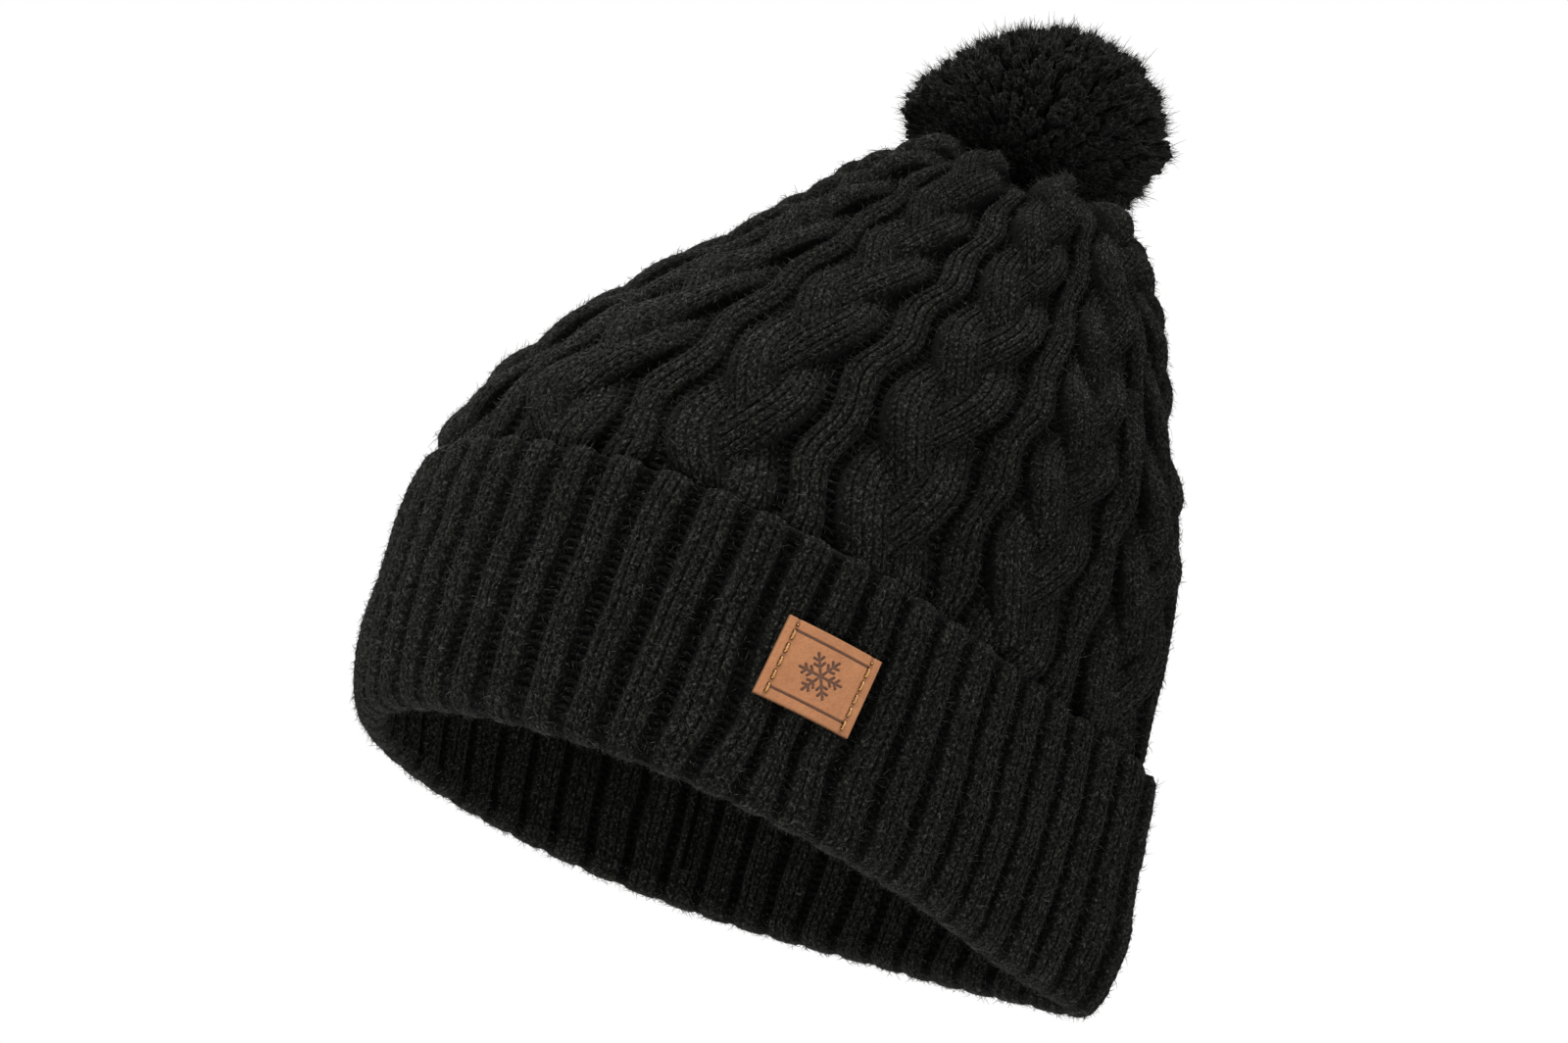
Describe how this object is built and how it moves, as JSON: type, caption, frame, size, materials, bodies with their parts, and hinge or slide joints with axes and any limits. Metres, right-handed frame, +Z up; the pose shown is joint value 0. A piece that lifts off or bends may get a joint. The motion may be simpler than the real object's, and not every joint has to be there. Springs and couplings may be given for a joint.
{
  "type": "knit bobble hat",
  "caption": "Cable-knit winter hat with a deep turned-up ribbed cuff, a small leather patch sewn to the front and a yarn pompom tied at the drawn-in crown.",
  "frame": {"origin": "centre of the hat's bounding box, on the flat underside of the cuff's fold", "axes": "+Z up through the crown to the pompom, -Y out of the front where the patch is, +X to the wearer's left, where the hat is pinched"},
  "size_m": [0.2338, 0.192, 0.2651],
  "materials": {
    "knit_yarn": "matte",
    "pompom_yarn": "matte",
    "tie_thread": "matte",
    "patch_leather": "satin",
    "patch_thread": "satin",
    "label_satin": "satin"
  },
  "bodies": {
    "knit_body": {"crown_shell": "knit_yarn", "inner_band": "knit_yarn", "back_seam": "knit_yarn", "care_label": "label_satin", "label_thread": "tie_thread", "crown_gather_yarn": "tie_thread", "tie_knot": "tie_thread"},
    "cuff": {"turned_cuff": "knit_yarn", "leather_patch": "patch_leather", "patch_thread_left": "patch_thread", "patch_thread_right": "patch_thread"},
    "pompom_neck": {"neck_wrap": "tie_thread"},
    "pompom_ball": {"pompom": "pompom_yarn", "pompom_binding": "tie_thread", "pompom_tie": "tie_thread"}
  },
  "joints": [
    {"name": "cuff_turn_down", "type": "slide", "parent": "knit_body", "child": "cuff", "axis": [0.1376, 0, -0.9905], "range_m": [0, 0.06]},
    {"name": "pompom_nod", "type": "hinge", "parent": "knit_body", "child": "pompom_neck", "pos_m": [0.0088, 0, 0.206], "axis": [1, 0, 0], "range_deg": [-13, 13], "stiffness_Nm_per_rad": 0.08},
    {"name": "pompom_sway", "type": "hinge", "parent": "pompom_neck", "child": "pompom_ball", "pos_m": [0.0088, 0, 0.206], "axis": [0, 1, 0], "range_deg": [-13, 13], "stiffness_Nm_per_rad": 0.08}
  ]
}
